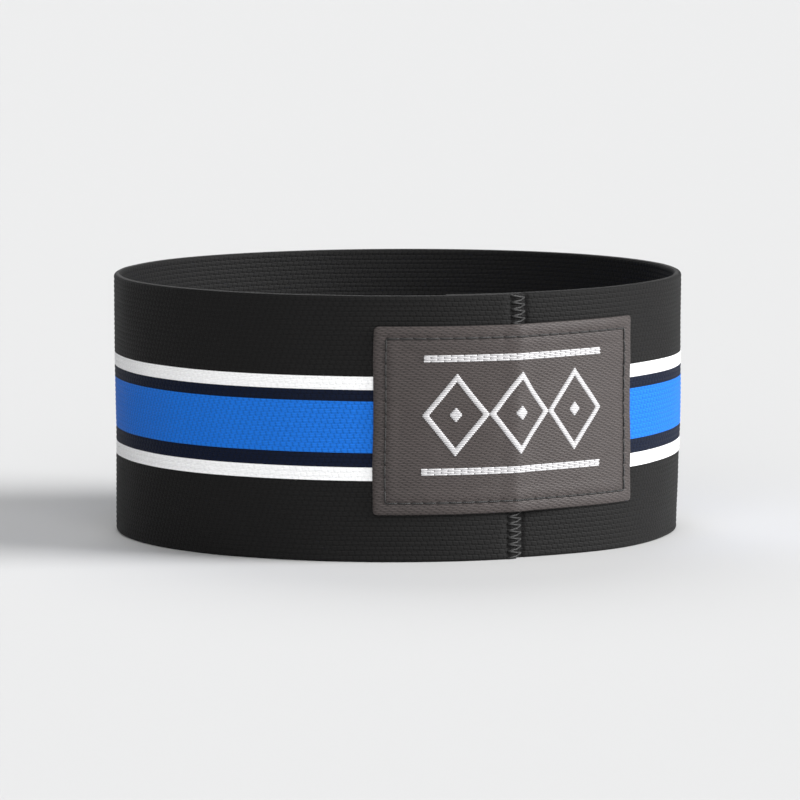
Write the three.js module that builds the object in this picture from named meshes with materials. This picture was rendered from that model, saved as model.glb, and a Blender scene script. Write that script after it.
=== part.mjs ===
// A wide elastic bicep band, lying on its lower edge. It is one strip of woven elastic, closed into a ring by a
// lap join, with a woven label sewn over the join.
//
// Millimetres, +Z up. The origin is on the surface that the band rests on, under the middle of its box. The
// label faces -Y, and the slightly wider edge is the upper one.

import * as THREE from 'three';
import { mergeVertices } from 'three/addons/utils/BufferGeometryUtils.js';

// The oval that the middle of the elastic's thickness follows, at half the band's height
const OVAL_WIDTH = 108.5;
const OVAL_DEPTH = 103.5;

// The elastic: a flat woven webbing with slightly rounded selvedges
const ELASTIC_WIDTH = 50;
const ELASTIC_THICKNESS = 1.5;
const ELASTIC_ROUNDING = 0.3;
const ELASTIC_STEPS = 150;

// How much further out the upper selvedge lies than the lower one: with wear the band takes a slight taper
const FLARE = 0.8;

// The lap join: its length, the gap between its plies, and the stretch in which each ply eases off the oval
const LAP_LENGTH = 14;
const LAP_GAP = 0.3;
const LAP_EASE = 28;
const LAP_LIFT = (ELASTIC_THICKNESS + LAP_GAP) / 2;

// The label, centred on the outer ply's raw end, which makes a ridge under it
const LABEL_LENGTH = 55;
const LABEL_BOTTOM = 8.9;
const LABEL_TOP = 44.4;
const LABEL_THICKNESS = 1;
const LABEL_ROUNDING = 0.25;
const LABEL_GAP = 0.3;
const LABEL_STEPS = 66;

// Past the outer ply's raw end the stiff label drops a share of the step in a ridge and the rest in a long slope
const RIDGE_SHARE = 0.4;
const RIDGE_END = 2.4;
const SLOPE_END = 13;

// Points of a strip that lie closer than this are one point
const MERGE_DISTANCE = 1e-4;

const ELASTIC_COLOUR = 0x201f1e;
const LABEL_COLOUR = 0x4b4646;

// The oval starts at the front, under the label, and goes round by way of +X
const oval = new THREE.EllipseCurve(0, 0, OVAL_WIDTH / 2, OVAL_DEPTH / 2, -Math.PI / 2, 1.5 * Math.PI);
oval.arcLengthDivisions = 2000;
const loopLength = oval.getLength();

const { smoothstep, lerp, euclideanModulo } = THREE.MathUtils;

// A point that lies so far along the oval, so far outside it and so high
function placeOnOval(along, outward, height) {
  const turn = euclideanModulo(along / loopLength, 1);
  const spot = oval.getPointAt(turn);
  const tangent = oval.getTangentAt(turn);
  const reach = outward + FLARE * (height / ELASTIC_WIDTH - 0.5);
  return new THREE.Vector3(spot.x + tangent.y * reach, spot.y - tangent.x * reach, height);
}

// How far outside the oval the middle of the strip lies. The strip starts as the inner ply, at minus the lap's
// length, and ends as the outer ply, at the full length of the loop.
function plyOffset(along) {
  const lapStart = loopLength - LAP_LENGTH;
  const inner = 1 - smoothstep(along, 0, LAP_EASE);
  const outer = smoothstep(along, lapStart - LAP_EASE, lapStart);
  return LAP_LIFT * (outer - inner);
}

// How far outside the oval the label's inner face lies: on the outer ply up to its raw end, then down to the
// ply that comes out from under it, which it meets again where the slope ends
function labelOffset(along) {
  const clearOfPly = ELASTIC_THICKNESS / 2 + LABEL_GAP;
  if (along <= 0) {
    return plyOffset(loopLength + along) + clearOfPly;
  }
  const slope = smoothstep(along, 0, SLOPE_END);
  const ridge = smoothstep(along, 0, RIDGE_END);
  const settled = lerp(slope, ridge, RIDGE_SHARE);
  return lerp(LAP_LIFT, plyOffset(along), settled) + clearOfPly;
}

// The cross-section of a flat woven strip: its height runs along x, its thickness along y, from the inner face
function stripSection(bottom, top, innerFace, thickness, rounding) {
  const outerFace = innerFace + thickness;
  const section = new THREE.Shape();
  section.moveTo(bottom + rounding, innerFace);
  section.lineTo(top - rounding, innerFace);
  section.lineTo(top, innerFace + rounding);
  section.lineTo(top, outerFace - rounding);
  section.lineTo(top - rounding, outerFace);
  section.lineTo(bottom + rounding, outerFace);
  section.lineTo(bottom, outerFace - rounding);
  section.lineTo(bottom, innerFace + rounding);
  section.closePath();
  return section;
}

// A flat strip of that section, bent round the oval from the place where it starts
function bendRoundOval(section, start, length, steps, offset) {
  const flat = new THREE.ExtrudeGeometry(section, { depth: length, steps, bevelEnabled: false });
  flat.deleteAttribute('normal');
  flat.deleteAttribute('uv');
  flat.clearGroups();
  const strip = mergeVertices(flat, MERGE_DISTANCE);
  const position = strip.getAttribute('position');
  for (let i = 0; i < position.count; i += 1) {
    const along = start + position.getZ(i);
    const outward = offset(along) + position.getY(i);
    const point = placeOnOval(along, outward, position.getX(i));
    position.setXYZ(i, point.x, point.y, point.z);
  }
  strip.computeVertexNormals();
  return strip;
}

function makeElasticBand() {
  const innerFace = -ELASTIC_THICKNESS / 2;
  const section = stripSection(0, ELASTIC_WIDTH, innerFace, ELASTIC_THICKNESS, ELASTIC_ROUNDING);
  const length = LAP_LENGTH + loopLength;
  const geometry = bendRoundOval(section, -LAP_LENGTH, length, ELASTIC_STEPS, plyOffset);
  const material = new THREE.MeshStandardMaterial({ color: ELASTIC_COLOUR, roughness: 0.85, metalness: 0 });
  const band = new THREE.Mesh(geometry, material);
  band.name = 'elastic_band';
  return band;
}

function makeLabel() {
  const section = stripSection(LABEL_BOTTOM, LABEL_TOP, 0, LABEL_THICKNESS, LABEL_ROUNDING);
  const geometry = bendRoundOval(section, -LABEL_LENGTH / 2, LABEL_LENGTH, LABEL_STEPS, labelOffset);
  const material = new THREE.MeshStandardMaterial({ color: LABEL_COLOUR, roughness: 0.6, metalness: 0 });
  const label = new THREE.Mesh(geometry, material);
  label.name = 'label';
  return label;
}

const bicepBand = new THREE.Group();
bicepBand.add(makeElasticBand(), makeLabel());

// The label and the lap stand out at the front only, so the whole is moved to put its box over the origin
const middle = new THREE.Box3().setFromObject(bicepBand, true).getCenter(new THREE.Vector3());
bicepBand.position.set(-middle.x, -middle.y, 0);

const model = new THREE.Group();
model.add(bicepBand);

export default model;
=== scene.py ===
"""A wide striped elastic bicep band, lying on its lower edge. Metres, +Z up, with the label facing -Y."""

import math

import bmesh
import bpy
import numpy as np
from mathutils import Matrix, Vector


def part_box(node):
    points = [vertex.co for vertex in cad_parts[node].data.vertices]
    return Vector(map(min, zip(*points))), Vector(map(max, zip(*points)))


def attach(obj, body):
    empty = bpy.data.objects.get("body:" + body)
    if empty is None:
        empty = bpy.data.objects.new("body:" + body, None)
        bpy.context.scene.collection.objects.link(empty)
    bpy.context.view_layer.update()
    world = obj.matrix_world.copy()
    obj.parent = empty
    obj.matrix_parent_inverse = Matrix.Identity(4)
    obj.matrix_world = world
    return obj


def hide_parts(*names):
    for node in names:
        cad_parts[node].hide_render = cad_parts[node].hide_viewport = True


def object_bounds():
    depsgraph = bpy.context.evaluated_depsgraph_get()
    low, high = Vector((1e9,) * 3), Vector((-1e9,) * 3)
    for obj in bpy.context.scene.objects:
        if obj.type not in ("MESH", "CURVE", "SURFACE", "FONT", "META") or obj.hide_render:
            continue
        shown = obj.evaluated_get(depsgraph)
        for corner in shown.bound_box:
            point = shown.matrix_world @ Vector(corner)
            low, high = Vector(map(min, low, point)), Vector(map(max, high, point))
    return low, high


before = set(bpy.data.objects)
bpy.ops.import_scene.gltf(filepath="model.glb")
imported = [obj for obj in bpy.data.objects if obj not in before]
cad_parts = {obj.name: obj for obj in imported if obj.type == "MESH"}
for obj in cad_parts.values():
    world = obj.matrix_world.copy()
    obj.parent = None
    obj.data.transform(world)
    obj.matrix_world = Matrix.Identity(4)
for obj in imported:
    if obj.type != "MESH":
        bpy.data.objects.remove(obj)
cad_low, cad_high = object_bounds()


# The web: one strip of flat woven elastic. Covered rubber cords run along it side by side, each bound by
# polyester yarn, which makes the fine ribs. The stripes are dyed yarns, the same on both faces. The strip is
# modelled flat and upright, bent round an oval, and its two ends lie over each other at the front.

MM = 0.001
web_thickness = 1.5 * MM
web_flare = 0.8 * MM
band_low, band_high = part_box("elastic_band")
web_width = band_high.z
half_width = (band_high.x - band_low.x - web_thickness - web_flare) / 2
oval_depth = 103.5 * MM
half_depth = oval_depth / 2
oval_centre_y = band_high.y - half_depth - (web_thickness + web_flare) / 2

# The lap: its length, the stretch in which each ply eases off the oval, and how far off it the ply then lies
lap_length = 14 * MM
lap_ease = 28 * MM
ply_lift = 0.8 * MM

# The length of the oval up to each of many small turns, counted from the front
turn_count = 7200
turns = np.linspace(0, 2 * math.pi, turn_count + 1)
turn_lengths = np.hypot(half_width * np.cos(turns), half_depth * np.sin(turns)) * (turns[1] - turns[0])
oval_lengths = np.concatenate(([0], np.cumsum((turn_lengths[1:] + turn_lengths[:-1]) / 2)))
loop_length = float(oval_lengths[-1])


def smooth_step(value, start, end):
    share = min(max((value - start) / (end - start), 0), 1)
    return share * share * (3 - 2 * share)


def ply_offset(along):
    """How far outside the oval the middle of the web lies, from the inner ply's end to the outer ply's."""
    lap_start = loop_length - lap_length
    inner = 1 - smooth_step(along, 0, lap_ease)
    outer = smooth_step(along, lap_start - lap_ease, lap_start)
    return ply_lift * (outer - inner)


def spot_on_oval(along, outward):
    """The point so far along the oval from the join, and so far outside it."""
    turn = np.interp(along % loop_length, oval_lengths, turns)
    side, back = math.sin(turn), -math.cos(turn)
    spot = Vector((half_width * side, oval_centre_y + half_depth * back, 0))
    return spot + outward * Vector((half_depth * side, half_width * back, 0)).normalized()


def lay_path(name, start, end, outward, step=1.5 * MM):
    """A path between two places along the oval, and what gives any such place's distance along the path."""
    count = round((end - start) / step)
    places = [start + (end - start) * i / count for i in range(count + 1)]
    points = [spot_on_oval(place, outward(place)) for place in places]
    curve = bpy.data.curves.new(name, "CURVE")
    curve.dimensions = "3D"
    curve.twist_mode = "Z_UP"
    spline = curve.splines.new("BEZIER")
    spline.bezier_points.add(count)
    for knot, point in zip(spline.bezier_points, points):
        knot.co = point
        knot.handle_left_type = knot.handle_right_type = "AUTO"
    path = bpy.data.objects.new(name, curve)
    bpy.context.scene.collection.objects.link(path)
    lengths = [0.0]
    for before, after in zip(points, points[1:]):
        lengths.append(lengths[-1] + (after - before).length)
    return path, lambda along: float(np.interp(along, places, lengths))


def only(piece):
    """Selects this piece alone, so that the operators work on it."""
    bpy.ops.object.select_all(action="DESELECT")
    piece.select_set(True)
    bpy.context.view_layer.objects.active = piece


def edit(piece):
    only(piece)
    bpy.ops.object.mode_set(mode="EDIT")


def done():
    bpy.ops.object.mode_set(mode="OBJECT")


def choose(piece, kind, fits):
    """In edit mode, picks the points, edges or faces that fit, and nothing else."""
    bpy.ops.mesh.select_mode(type=kind)
    bpy.ops.mesh.select_all(action="DESELECT")
    shape = bmesh.from_edit_mesh(piece.data)
    for part in {"VERT": shape.verts, "EDGE": shape.edges, "FACE": shape.faces}[kind]:
        if fits(part):
            part.select_set(True)
    shape.select_flush_mode()
    bmesh.update_edit_mesh(piece.data)


def slide(piece, *value):
    """Moves the whole of a piece's mesh."""
    edit(piece)
    bpy.ops.mesh.select_all(action="SELECT")
    bpy.ops.transform.translate(value=value)
    done()


def finish_with(piece, kind, **settings):
    """Adds a modifier with these settings and applies it."""
    only(piece)
    modifier = piece.modifiers.new(kind.lower(), kind)
    for name, value in settings.items():
        setattr(modifier, name, value)
    bpy.ops.object.modifier_apply(modifier=modifier.name)


crease = math.radians(60)


def smooth(piece):
    """Shades a piece smooth, up to the edges that bend more than a crease does."""
    only(piece)
    bpy.ops.object.shade_smooth_by_angle(angle=crease)


# No cloth stands perfectly round: slow clouds push every piece in and out a little, all of them alike
cloud_push = 1.6 * MM
unevenness = {}
for way, size in (("X", 38 * MM), ("Y", 45 * MM)):
    unevenness[way] = bpy.data.textures.new("unevenness_" + way, "CLOUDS")
    unevenness[way].noise_scale = size


def bend_along(piece, path, join_at):
    """Leans an upright flat piece out with the taper, slides it to the join and bends it along the path."""
    lean = math.atan(web_flare / web_width)
    edit(piece)
    bpy.ops.mesh.select_all(action="SELECT")
    bpy.ops.transform.rotate(value=-lean, orient_axis="X", center_override=(0, 0, web_width / 2))
    done()
    slide(piece, join_at, 0, 0)
    finish_with(piece, "CURVE", object=path, deform_axis="POS_X")
    for way, clouds in unevenness.items():
        finish_with(
            piece, "DISPLACE", texture=clouds, texture_coords="GLOBAL", direction=way,
            space="GLOBAL", mid_level=0.5, strength=cloud_push,
        )


def note_flat_place(piece):
    """Keeps each point's flat place, in millimetres along and up, as a map that the weave is drawn on."""
    layer = piece.data.uv_layers.new(name="flat")
    corners = np.empty(len(piece.data.loops), np.int32)
    piece.data.loops.foreach_get("vertex_index", corners)
    points = np.empty(len(piece.data.vertices) * 3, np.float32)
    piece.data.vertices.foreach_get("co", points)
    flat = points.reshape(-1, 3)[corners][:, (0, 2)] / MM
    layer.uv.foreach_set("vector", np.ascontiguousarray(flat, np.float32).ravel())


# From the lower selvedge up, how many warp ends of each colour lie side by side
stripes = (("black", 49), ("white", 8), ("navy", 9), ("blue", 32), ("navy", 7), ("white", 8), ("black", 49))
ends_a_rib = 3
end_count = sum(ends for _, ends in stripes)
selvedge = 0.3 * MM
rib_count = end_count // ends_a_rib
rib_width = (web_width - 2 * selvedge) / rib_count
rib_crown = 0.13 * MM
# At shares of a rib's width, the share of its crown that its back rises
rib_back = ((0.25, 0.75), (0.5, 1), (0.75, 0.75))
# A selvedge curls in from the face: how far inward and how far outward each strip of it goes
selvedge_curl = ((0.12 * MM, 0.14 * MM), (0.25 * MM, 0.12 * MM), (0.25 * MM, 0.04 * MM))
cut_end_squeeze = 0.6
web_steps = 190
rib_steps = 4
# Points nearer than this to a line count as on it, and points closer than a weld are one point
near = 0.1 * MM
weld = 0.002 * MM

web_path, web_reach = lay_path("web_path", -lap_length, loop_length, ply_offset)
bpy.context.view_layer.update()
web_length = web_path.data.splines[0].calc_length()

# The join's needle draws the web in along two lines, either side of the cut end. Where one ply lies on the
# other, only the free face of each gives way.
needle_line = 1.65 * MM
pinch_reach = 0.8 * MM
pinch_steps = (-0.8, -0.4, 0, 0.4, 0.8)
# Where along the strip, which place in its thickness keeps still, and what share of the thickness is left
pinches = (
    (web_reach(-needle_line), -web_thickness / 2, 0.75),
    (web_reach(needle_line), 0, 0.5),
    (web_length - needle_line, web_thickness / 2, 0.75),
)

bpy.ops.object.select_all(action="DESELECT")
bpy.ops.mesh.primitive_grid_add(
    x_subdivisions=web_steps, y_subdivisions=rib_steps, size=1, rotation=(math.pi / 2, 0, 0)
)
web = bpy.context.object
web.name = "woven_web"
web.scale = (web_length, rib_width, 1)
web.location = (web_length / 2, rib_crown - web_thickness / 2, selvedge + rib_width / 2)
bpy.ops.object.transform_apply(location=True, rotation=True, scale=True)

edit(web)
for line, _, _ in pinches:
    for share in pinch_steps:
        bpy.ops.mesh.select_all(action="SELECT")
        bpy.ops.mesh.bisect(plane_co=(line + share * pinch_reach, 0, 0), plane_no=(1, 0, 0))
for share, rise in rib_back:
    height = selvedge + share * rib_width
    choose(web, "VERT", lambda v: abs(v.co.z - height) < near)
    bpy.ops.transform.translate(value=(0, -rise * rib_crown, 0))
done()
finish_with(
    web, "ARRAY", count=rib_count, use_relative_offset=False, use_constant_offset=True,
    constant_offset_displace=(0, 0, rib_width), use_merge_vertices=True, merge_threshold=weld,
)

edit(web)
for height, way in ((selvedge, -1), (web_width - selvedge, 1)):
    choose(web, "EDGE", lambda e: all(abs(v.co.z - height) < near for v in e.verts))
    for inward, outward in selvedge_curl:
        bpy.ops.mesh.extrude_region_move(TRANSFORM_OT_translate={"value": (0, inward, way * outward)})
done()
finish_with(web, "MIRROR", use_axis=(False, True, False), merge_threshold=weld)

edit(web)
for end in (0, web_length):
    choose(web, "EDGE", lambda e: e.is_boundary and all(abs(v.co.x - end) < near for v in e.verts))
    bpy.ops.mesh.edge_face_add()
bpy.ops.mesh.select_all(action="SELECT")
bpy.ops.mesh.normals_make_consistent(inside=False)
choose(web, "VERT", lambda v: v.co.x > web_length - near)
bpy.ops.transform.resize(
    value=(1, cut_end_squeeze, 1), center_override=(web_length, 0, web_width / 2)
)
for line, still, squeeze in pinches:
    choose(web, "VERT", lambda v: abs(v.co.x - line) < near)
    bpy.ops.transform.resize(
        value=(1, squeeze, 1), center_override=(line, still, web_width / 2), use_proportional_edit=True,
        proportional_edit_falloff="SMOOTH", proportional_size=pinch_reach,
    )
done()
note_flat_place(web)
bend_along(web, web_path, 0)
bpy.data.objects.remove(web_path)
smooth(web)


def new_material(name):
    material = bpy.data.materials.new(name)
    material.use_nodes = True
    return material, material.node_tree, material.node_tree.nodes["Principled BSDF"]


def node(tree, kind, values=(), **settings):
    """Adds a node. values are its inputs in order: numbers, colours, other nodes' outputs, or None."""
    made = tree.nodes.new(kind)
    for name, value in settings.items():
        setattr(made, name, value)
    for socket, value in zip(made.inputs, values):
        if isinstance(value, bpy.types.NodeSocket):
            tree.links.new(value, socket)
        elif value is not None:
            socket.default_value = value
    return made


def calc(tree, operation, *values):
    return node(tree, "ShaderNodeMath", values, operation=operation).outputs[0]


def between(tree, share, low, high):
    """A number that goes from low to high as the share goes from 0 to 1."""
    return calc(tree, "MULTIPLY_ADD", share, high - low, low)


def flat_place(tree):
    """How far along the flat cloth a point lies and how high, in millimetres."""
    place = node(tree, "ShaderNodeUVMap", uv_map="flat").outputs["UV"]
    split = node(tree, "ShaderNodeSeparateXYZ", (place,))
    return split.outputs["X"], split.outputs["Y"]


def floats(tree, lengthwise, crosswise, bluntness):
    """A dome from 0 to 1 over each float of a weave: round across, and more or less blunt at its ends.
    Both places rise by 1 from float to float."""
    off_centre = []
    for place, power in ((lengthwise, bluntness), (crosswise, 2)):
        to_edge = calc(tree, "MULTIPLY_ADD", calc(tree, "PINGPONG", place, 0.5), -2, 1)
        off_centre.append(calc(tree, "POWER", to_edge, power))
    rim = calc(tree, "MINIMUM", calc(tree, "ADD", *off_centre), 1)
    return calc(tree, "SQRT", calc(tree, "SUBTRACT", 1, rim))


def noise(tree, place):
    """Soft noise from 0 to 1, with blotches about one unit of the place wide."""
    scale, detail, roughness = 1.0, 2.0, 0.5
    return node(tree, "ShaderNodeTexNoise", (place, None, scale, detail, roughness)).outputs[0]


def streaks(tree, along, up, per_mm_along, per_mm_up):
    """Noise that is drawn out one way, as the filaments of a yarn are."""
    place = node(
        tree, "ShaderNodeCombineXYZ",
        (calc(tree, "MULTIPLY", along, per_mm_along), calc(tree, "MULTIPLY", up, per_mm_up)),
    )
    return noise(tree, place.outputs[0])


def colour_and_relief(tree, shader, colour, shade, relief, depth):
    """Gives a surface a colour, plain or from a node, times a shade, and a relief so many metres deep."""
    mixed = node(tree, "ShaderNodeMix", data_type="RGBA", blend_type="MULTIPLY")
    mixed.inputs["Factor"].default_value = 1
    if isinstance(colour, bpy.types.NodeSocket):
        tree.links.new(colour, mixed.inputs["A"])
    else:
        mixed.inputs["A"].default_value = colour
    tree.links.new(shade, mixed.inputs["B"])
    tree.links.new(mixed.outputs["Result"], shader.inputs["Base Color"])
    bump = node(tree, "ShaderNodeBump", (1.0, depth, None, relief))
    tree.links.new(bump.outputs[0], shader.inputs["Normal"])


web_colours = {
    "black": (0.0091, 0.0088, 0.0087, 1),
    "white": (0.97, 0.97, 0.97, 1),
    "navy": (0.002, 0.006, 0.022, 1),
    "blue": (0.0098, 0.17, 0.71, 1),
}

material, tree, shader = new_material("striped_web")

# Each end floats over the picks, a little further on than the end below it, and half a float on in odd ribs
pick_pitch = 1.2
end_stagger = 0.07
rib_stagger = 0.5
along, up = flat_place(tree)
rib_place = calc(tree, "DIVIDE", calc(tree, "SUBTRACT", up, selvedge / MM), rib_width / MM)
odd_rib = calc(tree, "FLOORED_MODULO", calc(tree, "FLOOR", rib_place), 2)
end_place = calc(tree, "MULTIPLY", rib_place, ends_a_rib)
rib_shift = calc(tree, "MULTIPLY", odd_rib, rib_stagger)
stagger = calc(tree, "MULTIPLY_ADD", calc(tree, "FLOOR", end_place), end_stagger, rib_shift)
pick_place = calc(tree, "ADD", calc(tree, "DIVIDE", along, pick_pitch), stagger)
yarn = floats(tree, pick_place, end_place, bluntness=4)
filaments = streaks(tree, along, up, per_mm_along=1.1, per_mm_up=9.0)

ramp = node(tree, "ShaderNodeValToRGB", (calc(tree, "DIVIDE", end_place, end_count),))
ramp.color_ramp.interpolation = "CONSTANT"
stops = ramp.color_ramp.elements
stops.remove(stops[1])
ends_below = 0
for colour, ends in stripes:
    stop = stops[0] if ends_below == 0 else stops.new(ends_below / end_count)
    stop.color = web_colours[colour]
    ends_below += ends

# The base colour is darkened in the grooves between the floats: painted shade. Bright yarn passes light on
# into its grooves, so there the painted shade stays faint.
dark_yarn_painted_shade, bright_yarn_painted_shade = 0.6, 0.05
parts = node(tree, "ShaderNodeSeparateColor", (ramp.outputs[0],)).outputs
brightness = calc(tree, "MULTIPLY", calc(tree, "ADD", parts["Red"], parts["Blue"]), 0.5)
painted_shade_depth = between(tree, brightness, dark_yarn_painted_shade, bright_yarn_painted_shade)
groove = calc(tree, "MULTIPLY", calc(tree, "SUBTRACT", 1.0, yarn), painted_shade_depth)
# The colour's shade: painted shade in the grooves, times the filaments' own tone, which varies at random
shade = calc(tree, "MULTIPLY", calc(tree, "SUBTRACT", 1.0, groove), between(tree, filaments, 0.75, 1.25))
filament_rise = 0.3
relief = calc(tree, "MULTIPLY_ADD", filaments, filament_rise, yarn)
colour_and_relief(tree, shader, ramp.outputs[0], shade, relief, depth=0.085 * MM)
shader.inputs["Roughness"].default_value = 0.65
shader.inputs["Specular IOR Level"].default_value = 0.13
shader.inputs["Sheen Weight"].default_value = 0.02
shader.inputs["Sheen Roughness"].default_value = 0.35
web.data.materials.append(material)

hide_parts("elastic_band")
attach(web, "root")


# The seam of the join: a zigzag in black polyester thread, sewn over the outer ply's cut end and through
# both plies. Each stitch dips into the web where the needle went in, and the bobbin's thread shows inside.

thread_thickness = 0.36 * MM
thread_step = 0.28 * MM
zigzag_pitch = 1.3 * MM
hole_gap = 0.04 * MM


def thread_through(name, route, thickness):
    """A short length of sewing thread along this route, as a tube with closed ends. Its map, round_thread,
    says how many millimetres along the thread and what share of the way round it a point lies."""
    corners = np.array(route)
    reach = np.concatenate(([0], np.cumsum(np.linalg.norm(np.diff(corners, axis=0), axis=1))))
    length = reach[-1]
    steps = round(length / thread_step)
    stops = [length * i / steps for i in range(steps + 1)]
    points = [Vector([np.interp(stop, reach, axis) for axis in corners.T]) for stop in stops]

    bpy.ops.object.select_all(action="DESELECT")
    bpy.ops.mesh.primitive_plane_add(size=thickness, location=points[0])
    thread = bpy.context.object
    thread.name = name
    bpy.ops.object.transform_apply(location=True, rotation=True, scale=True)
    edit(thread)
    bpy.ops.mesh.select_mode(type="VERT")
    bpy.ops.mesh.merge(type="CENTER")
    for before, after in zip(points, points[1:]):
        bpy.ops.mesh.extrude_region_move(TRANSFORM_OT_translate={"value": after - before})
    done()
    bpy.ops.object.convert(target="CURVE")
    thread.data.bevel_depth = thickness / 2
    thread.data.bevel_resolution = 2
    thread.data.use_fill_caps = True
    bpy.ops.object.convert(target="MESH")

    layer = thread.data.uv_layers[0]
    layer.name = "round_thread"
    places = np.empty(len(thread.data.loops) * 2, np.float32)
    layer.uv.foreach_get("vector", places)
    places[0::2] *= length / MM
    layer.uv.foreach_set("vector", places)
    return thread


def repeat(piece, count, *offset):
    finish_with(
        piece, "ARRAY", count=count, use_relative_offset=False, use_constant_offset=True,
        constant_offset_displace=offset,
    )


def join_pieces(name, pieces):
    only(pieces[0])
    for piece in pieces:
        piece.select_set(True)
    bpy.ops.object.join()
    pieces[0].name = name
    return pieces[0]


def zigzag(name, profile):
    """Stitches to and fro all the way up, over a profile in millimetres. Two stitches go down each of the
    needle's holes, side by side."""
    there = []
    for along, outward in profile:
        share = (along * MM + needle_line) / (2 * needle_line)
        rise = hole_gap / 2 + share * (zigzag_pitch / 2 - hole_gap)
        there.append((along * MM, -outward * MM, rise))
    back = [(along, outward, zigzag_pitch - rise) for along, outward, rise in there]
    seam = join_pieces(name, [thread_through(name, side, thread_thickness) for side in (there, back)])
    stitches = int((web_width - thread_thickness) / zigzag_pitch)
    slide(seam, 0, 0, (web_width - stitches * zigzag_pitch) / 2)
    repeat(seam, stitches, 0, 0, zigzag_pitch)
    return seam


# How far along from the cut end the middle of the thread lies, and how far outside the oval. Outside, it
# comes up through the outer ply's face, at 1.55, and goes down through the inner ply's, at -0.05. Inside, it
# lies on the inner ply's other face, at -1.55.
last = needle_line / MM
over_cut_end = (
    (-last, 0.85), (-1.5, 1.37), (-1.15, 1.6), (-0.5, 1.51), (-0.05, 1.41),
    (0.2, 1.12), (0.5, 0.68), (0.95, 0.22), (1.45, -0.13), (last, -0.7),
)
under_side = (
    (-last, -0.9), (-1.5, -1.37), (-1.15, -1.6), (0, -1.67), (1.15, -1.6), (1.5, -1.37), (last, -0.9),
)
join_path_half = 20 * MM
join_path, join_reach = lay_path("join_path", -join_path_half, join_path_half, lambda along: 0)
outside = zigzag("zigzag_outside", over_cut_end)
inside = zigzag("zigzag_inside", under_side)
join_seam = join_pieces("join_seam", [outside, inside])
bend_along(join_seam, join_path, join_reach(0))
bpy.data.objects.remove(join_path)
smooth(join_seam)

# Three plies lie twisted round each other, once round in a millimetre
thread_plies = 3
twist_pitch = 1.0
thread_black, tree, shader = new_material("sewing_thread")
place = node(tree, "ShaderNodeUVMap", uv_map="round_thread").outputs["UV"]
split = node(tree, "ShaderNodeSeparateXYZ", (place,))
twist = calc(tree, "ADD", calc(tree, "DIVIDE", split.outputs["X"], twist_pitch), split.outputs["Y"])
plies = calc(tree, "ABSOLUTE", calc(tree, "SINE", calc(tree, "MULTIPLY", twist, thread_plies * math.pi)))
# The thread's colour is darkened in the grooves between its plies: painted shade
shade = between(tree, plies, 0.4, 1.1)
colour_and_relief(tree, shader, (0.018, 0.0175, 0.0175, 1), shade, plies, depth=0.05 * MM)
shader.inputs["Roughness"].default_value = 0.5
shader.inputs["Specular IOR Level"].default_value = 0.5
join_seam.data.materials.append(thread_black)

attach(join_seam, "root")


# The label: a densely woven patch with its edges turned under, laid over the join. Its face is pulled down
# along the seam, most of all at the needle's holes. Past the outer ply's cut end it drops in a soft ridge,
# then bridges the rest of the step down to the inner ply in a long slope, as it is stiffer than the web.

label_low, label_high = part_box("label")
label_half = 27.5 * MM
label_height = label_high.z - label_low.z
label_middle = (label_high.z + label_low.z) / 2
label_thickness = 0.55 * MM
label_rise = 0.06 * MM
ridge_start, ridge_end, bridge_end = -1.0 * MM, 2.4 * MM, 13 * MM
ridge_share = 0.4

# Over the join's seam the label bulges, level as far as the bulge's top and then down to its foot
bulge_rise = 0.15 * MM
bulge_top = 1.2 * MM
bulge_foot = 4 * MM


def label_seat(along):
    """How far outside the oval the label's inner face lies."""
    outer = ply_offset(loop_length + min(along, 0))
    ridge = smooth_step(along, ridge_start, ridge_end)
    slope = smooth_step(along, ridge_start, bridge_end)
    settled = ridge_share * ridge + (1 - ridge_share) * slope
    ply = outer + (ply_offset(max(along, 0)) - outer) * settled
    bulge = bulge_rise * (1 - smooth_step(abs(along), bulge_top, bulge_foot))
    return ply + web_thickness / 2 + label_rise + bulge


label_path_half = 36 * MM
label_path, label_reach = lay_path(
    "label_path", -label_path_half, label_path_half, label_seat, step=0.6 * MM
)
label_length = label_reach(label_half) - label_reach(-label_half)

# A stitch is four cells of the label's grid long, and the seam runs round it four cells in
cells_a_stitch = 4
stitches_along, stitches_up = 21, 13
columns = (stitches_along + 2) * cells_a_stitch
rows = (stitches_up + 2) * cells_a_stitch
cell_along = label_length / columns
cell_up = label_height / rows
hem = 8
hem_step = 0.08 * MM
corner_draw = 0.3 * MM
back_clearance = 0.12 * MM

bpy.ops.object.select_all(action="DESELECT")
bpy.ops.mesh.primitive_grid_add(
    x_subdivisions=columns, y_subdivisions=rows, size=1, rotation=(math.pi / 2, 0, 0),
    location=(0, -label_thickness, 0)
)
label = bpy.context.object
label.name = "woven_label"
label.scale = (label_length, label_height, 1)
bpy.ops.object.transform_apply(location=True, rotation=True, scale=True)


def column(point):
    return round((point.co.x + label_length / 2) / cell_along)


def row(point):
    return round((point.co.z + label_height / 2) / cell_up)


def ring(point):
    """How many cells in from the label's edge a point of its grid lies."""
    return min(column(point), columns - column(point), row(point), rows - row(point))


def is_needle_hole(point):
    on_seam = ring(point) == cells_a_stitch
    return on_seam and column(point) % cells_a_stitch == 0 and row(point) % cells_a_stitch == 0


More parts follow.
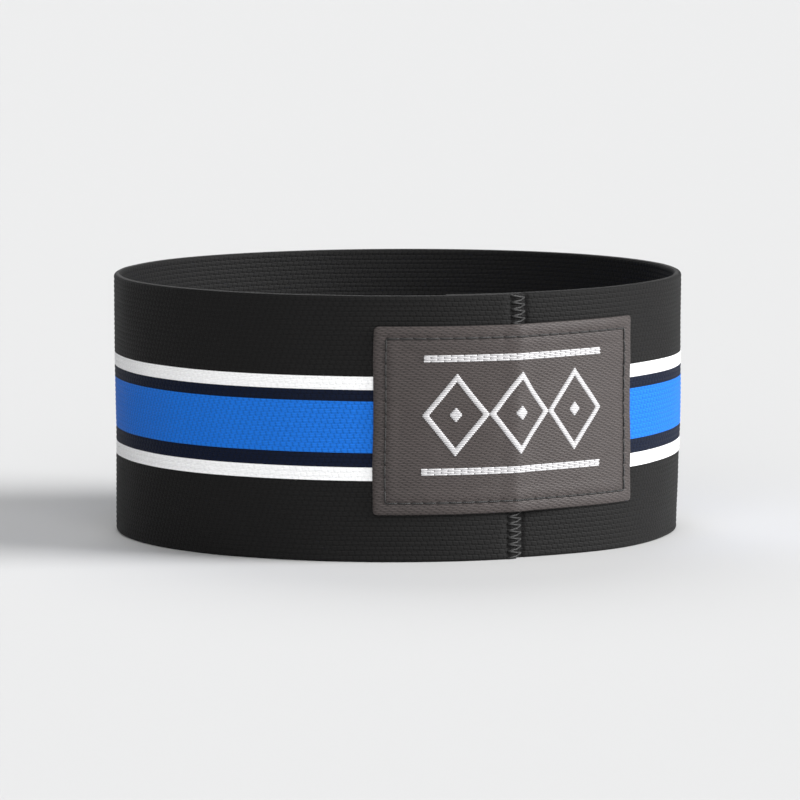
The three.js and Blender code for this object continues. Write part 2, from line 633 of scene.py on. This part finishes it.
# How far the face sinks: at the edge, just inside it, along the seam, more in its holes, and inside the hem
edit(label)
for fits, sink in (
    (lambda v: ring(v) == 0, 0.22 * MM),
    (lambda v: ring(v) == 1, 0.04 * MM),
    (lambda v: ring(v) == cells_a_stitch, 0.14 * MM),
    (is_needle_hole, 0.3 * MM),
    (lambda v: ring(v) >= hem, hem_step),
):
    choose(label, "VERT", fits)
    bpy.ops.transform.translate(value=(0, sink, 0))
choose(label, "VERT", lambda v: column(v) in (0, columns) and row(v) in (0, rows))
bpy.ops.transform.resize(
    value=(1 - 2 * corner_draw / label_length, 1, 1 - 2 * corner_draw / label_height),
    center_override=(0, 0, 0),
)
done()
note_flat_place(label)
finish_with(label, "SOLIDIFY", thickness=label_thickness - back_clearance, offset=-1)
finish_with(label, "SUBSURF", levels=1, render_levels=1)

# The label doesn't lie perfectly flat either, and what is sewn through it or woven into it goes with it
ripple_push = 0.35 * MM
ripples = bpy.data.textures.new("ripples", "CLOUDS")
ripples.noise_scale = 10 * MM


def lay_on_label(piece):
    finish_with(
        piece, "DISPLACE", texture=ripples, texture_coords="GLOBAL", direction="Y",
        mid_level=0, strength=-ripple_push,
    )
    slide(piece, 0, 0, label_middle)
    bend_along(piece, label_path, label_reach(0))
    smooth(piece)


lay_on_label(label)

material, tree, shader = new_material("woven_label")

# Picks lie one above another, each bound down every fifth warp thread, two threads on from the pick below
label_pick = 0.32 * MM
threads_a_float = 5
threads_on = 2
ornament_rise = 1 * MM
along, up = flat_place(tree)
pick_place = calc(tree, "DIVIDE", calc(tree, "SUBTRACT", up, ornament_rise / MM), label_pick / MM)
bound_place = calc(
    tree, "MULTIPLY_ADD", calc(tree, "FLOOR", pick_place), threads_on / threads_a_float,
    calc(tree, "DIVIDE", along, threads_a_float * label_pick / MM),
)
weave = floats(tree, bound_place, pick_place, bluntness=2.5)
slubs = streaks(tree, along, up, per_mm_along=0.35, per_mm_up=3.1)
# The colour is darker towards each float's edges: painted shade in the dips between floats, where the darker
# warp also shows. The slubs vary its tone at random
shade = calc(tree, "MULTIPLY", between(tree, weave, 0.4, 1.0), between(tree, slubs, 0.75, 1.25))
colour_and_relief(tree, shader, (0.057, 0.0465, 0.0442, 1), shade, weave, depth=0.06 * MM)
shader.inputs["Roughness"].default_value = 0.5
shader.inputs["Specular IOR Level"].default_value = 0.25
shader.inputs["Sheen Weight"].default_value = 0.05
label.data.materials.append(material)

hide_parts("label")
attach(label, "root")


# The label's seam: a lockstitch in black thread round the label, about 2.4 mm in from its edges, through all
# the plies. The needle's thread shows on the label and the bobbin's thread inside the band.

seam_thickness = 0.3 * MM
seam_sunk = 0.06 * MM
# At shares of a stitch's length, how far its thread lies off the cloth, in millimetres
stitch_arch = (
    (0.04, -0.25), (0.12, 0.02), (0.25, 0.1), (0.5, 0.12), (0.75, 0.1), (0.88, 0.02), (0.96, -0.25),
)


def stitch(name, length, turned, side):
    """One stitch, along or upright, on the side where outward is 1 and inward -1."""
    points = []
    for share, lift in stitch_arch:
        along = share * length
        points.append((0, -side * lift * MM, along) if turned else (along, -side * lift * MM, 0))
    return thread_through(name, points, seam_thickness)


def seam_round_label(name, face, side):
    stitch_along = cells_a_stitch * cell_along
    stitch_up = cells_a_stitch * cell_up
    half_along = stitches_along / 2 * stitch_along
    half_up = stitches_up / 2 * stitch_up
    lengthwise = stitch(name + "_lengthwise", stitch_along, False, side)
    repeat(lengthwise, stitches_along, stitch_along, 0, 0)
    slide(lengthwise, -half_along, face, half_up)
    finish_with(lengthwise, "MIRROR", use_axis=(False, False, True))
    upright = stitch(name + "_upright", stitch_up, True, side)
    repeat(upright, stitches_up, 0, 0, stitch_up)
    slide(upright, half_along, face, -half_up)
    finish_with(upright, "MIRROR", use_axis=(True, False, False))
    return join_pieces(name, [lengthwise, upright])


def inside_face(along):
    """How far outside the oval the web's innermost face lies, with a ramp up to the inner ply's end."""
    ramp_start, ramp_end = -lap_length - 1.3 * MM, -lap_length + 0.1 * MM
    single = ply_offset(loop_length + along) if along <= 0 else ply_offset(along)
    double = ply_offset(max(along, 0))
    return single + (double - single) * smooth_step(along, ramp_start, ramp_end) - web_thickness / 2


label_seam = seam_round_label("label_seam", seam_sunk - label_thickness, 1)
lay_on_label(label_seam)
bobbin_seam = seam_round_label("bobbin_seam", 0, -1)
slide(bobbin_seam, 0, 0, label_middle)
inside_path, inside_reach = lay_path(
    "inside_path", -label_path_half, label_path_half, inside_face, step=0.3 * MM
)
bend_along(bobbin_seam, inside_path, inside_reach(0))
bpy.data.objects.remove(inside_path)
smooth(bobbin_seam)
for piece in (label_seam, bobbin_seam):
    piece.data.materials.append(thread_black)
    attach(piece, "root")


# The ornament woven into the label: a row of three tall lozenges, each with a pip, between two bars. It is
# made of floats of silver-white rayon, which lie side by side across the label and are bound down at their
# ends.

# How long each float of a lozenge or pip is, then how wide the shapes are and how many rows of floats high
stroke_across = 1.35 * MM
lozenge_half_width = 6.25 * MM
lozenge_rows = 24
pip_half_width = 1.15 * MM
pip_rows = 4
bar_half = 18.75 * MM
bar_rows = 4
bar_float = 2.5 * MM
bar_middle = 10.6 * MM
ornament_face = hem_step - label_thickness

# A float is a touch wider than its pick, so that floats meet. Each of its ends tapers to a tip that drops
# into the cloth, and two floats in a row leave a gap.
float_width = 1.04 * label_pick
float_thickness = 0.36 * MM
float_gap = 0.04 * MM
tip_length = 0.13 * MM
tip_drop = 0.05 * MM
tip_tuck = 0.03 * MM
tip_taper = (1, 0.6, 0.7)
# Points of the ornament are closer together than those of the web, and weld at half the distance
fine_weld = 0.001 * MM


def woven_float(name, length):
    """One float, with its middle at the origin and its ends drawn in and bound down."""
    bpy.ops.object.select_all(action="DESELECT")
    bpy.ops.mesh.primitive_cylinder_add(
        vertices=8, radius=0.5, depth=1, end_fill_type="NGON", rotation=(0, math.pi / 2, 0)
    )
    piece = bpy.context.object
    piece.name = name
    piece.scale = (float_width, float_thickness, length - 2 * tip_length - float_gap)
    bpy.ops.object.transform_apply(location=True, rotation=True, scale=True)
    edit(piece)
    choose(piece, "EDGE", lambda e: abs(e.verts[0].co.x - e.verts[1].co.x) > length / 2)
    bpy.ops.mesh.subdivide(number_cuts=round(length / MM))
    for way in (-1, 1):
        choose(piece, "FACE", lambda f: way * f.normal.x > 0.9)
        bpy.ops.mesh.extrude_region_move(TRANSFORM_OT_translate={"value": (way * tip_length, tip_drop, 0)})
        bpy.ops.transform.resize(value=tip_taper)
        bpy.ops.transform.translate(value=(0, tip_tuck, 0))
    done()
    return piece


def woven_lozenge(name, half_width, rows_up):
    """Floats stepped inward row by row, and mirrored, make a lozenge or, where they meet, a pip."""
    piece = woven_float(name, stroke_across)
    slide(piece, half_width - stroke_across / 2, 0, label_pick / 2)
    repeat(piece, rows_up, -half_width / rows_up, 0, label_pick)
    finish_with(
        piece, "MIRROR", use_axis=(True, False, True), use_bisect_axis=(True, False, False),
        bisect_threshold=fine_weld, merge_threshold=fine_weld,
    )
    return piece


def woven_bar(name):
    """Floats end to end in rows, each row half a float on from the last, cut square at both ends."""
    piece = woven_float(name, bar_float)
    floats_a_row = round(2 * bar_half / bar_float) + bar_rows
    slide(piece, -bar_half - (bar_rows / 2) * bar_float, 0, bar_middle - (bar_rows - 1) / 2 * label_pick)
    repeat(piece, floats_a_row, bar_float, 0, 0)
    repeat(piece, bar_rows, bar_float / 2, 0, label_pick)
    edit(piece)
    for way in (-1, 1):
        bpy.ops.mesh.select_all(action="SELECT")
        bpy.ops.mesh.bisect(
            plane_co=(way * bar_half, 0, 0), plane_no=(way, 0, 0), use_fill=True, clear_outer=True,
            threshold=fine_weld,
        )
    done()
    finish_with(piece, "MIRROR", use_axis=(False, False, True))
    return piece


lozenges = woven_lozenge("lozenges", lozenge_half_width, lozenge_rows)
pips = woven_lozenge("pips", pip_half_width, pip_rows)
for piece in (lozenges, pips):
    slide(piece, -2 * lozenge_half_width, 0, 0)
    repeat(piece, 3, 2 * lozenge_half_width, 0, 0)
ornament = join_pieces("ornament", [lozenges, pips, woven_bar("bars")])
slide(ornament, 0, ornament_face, ornament_rise)
lay_on_label(ornament)
bpy.data.objects.remove(label_path)

# The rayon's filaments run along each float, and are many times longer than they are high
material, tree, shader = new_material("silver_rayon")
place = node(tree, "ShaderNodeTexCoord").outputs["Object"]
per_metre = (600, 600, 11000)
filaments = noise(tree, node(tree, "ShaderNodeMapping", (place, None, None, per_metre)).outputs[0])
shade = between(tree, filaments, 0.65, 1.2)
colour_and_relief(tree, shader, (0.5, 0.492, 0.5, 1), shade, filaments, depth=0.03 * MM)
shader.inputs["Roughness"].default_value = 0.38
shader.inputs["Specular IOR Level"].default_value = 0.5
shader.inputs["Sheen Weight"].default_value = 0.1
ornament.data.materials.append(material)

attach(ornament, "root")


# The floor, the light and the camera: a pale floor under soft light from the right, and a long lens that
# looks at the band from the photograph's side, from just above the floor.

bpy.ops.mesh.primitive_plane_add(size=8)
floor = bpy.context.object
floor.name = "floor"
material, tree, shader = new_material("floor")
shader.inputs["Base Color"].default_value = (0.545, 0.545, 0.545, 1)
shader.inputs["Roughness"].default_value = 0.9
floor.data.materials.append(material)

# The air around lends a dim even light, but itself looks as pale as the floor
air_light = 0.22
air_seen = 0.93
world = bpy.data.worlds.new("studio")
world.use_nodes = True
tree = world.node_tree
background = tree.nodes["Background"]
background.inputs["Color"].default_value = (0.9, 0.92, 0.95, 1)
in_view = node(tree, "ShaderNodeLightPath").outputs["Is Camera Ray"]
tree.links.new(between(tree, in_view, air_light, air_seen), background.inputs["Strength"])
bpy.context.scene.world = world
bpy.context.scene.view_settings.view_transform = "Standard"


def direction(azimuth, elevation):
    """From the band towards a place that is so far round from -Y, and so high, in degrees."""
    turn, rise = math.radians(azimuth), math.radians(elevation)
    return Vector((math.sin(turn) * math.cos(rise), -math.cos(turn) * math.cos(rise), math.sin(rise)))


def soft_light(name, azimuth, elevation, spread, strength):
    """Light from one side, as even as from a big soft box far off."""
    lamp = bpy.data.lights.new(name, "SUN")
    lamp.angle = math.radians(spread)
    lamp.energy = strength
    box = bpy.data.objects.new(name, lamp)
    box.rotation_euler = direction(azimuth, elevation).to_track_quat("Z", "Y").to_euler()
    bpy.context.scene.collection.objects.link(box)


soft_light("key", azimuth=55, elevation=24, spread=35, strength=6.0)
soft_light("fill", azimuth=-25, elevation=25, spread=60, strength=2.25)
soft_light("back", azimuth=165, elevation=40, spread=40, strength=1.1)

middle = (cad_low + cad_high) / 2
lens = 300
frame_width = 0.155
camera_data = bpy.data.cameras.new("camera")
camera_data.lens = lens
camera = bpy.data.objects.new("camera", camera_data)
bpy.context.scene.collection.objects.link(camera)
view = direction(azimuth=-25, elevation=6)
camera.location = middle + view * (frame_width * lens / camera_data.sensor_width)
camera.rotation_euler = view.to_track_quat("Z", "Y").to_euler()
bpy.context.scene.camera = camera
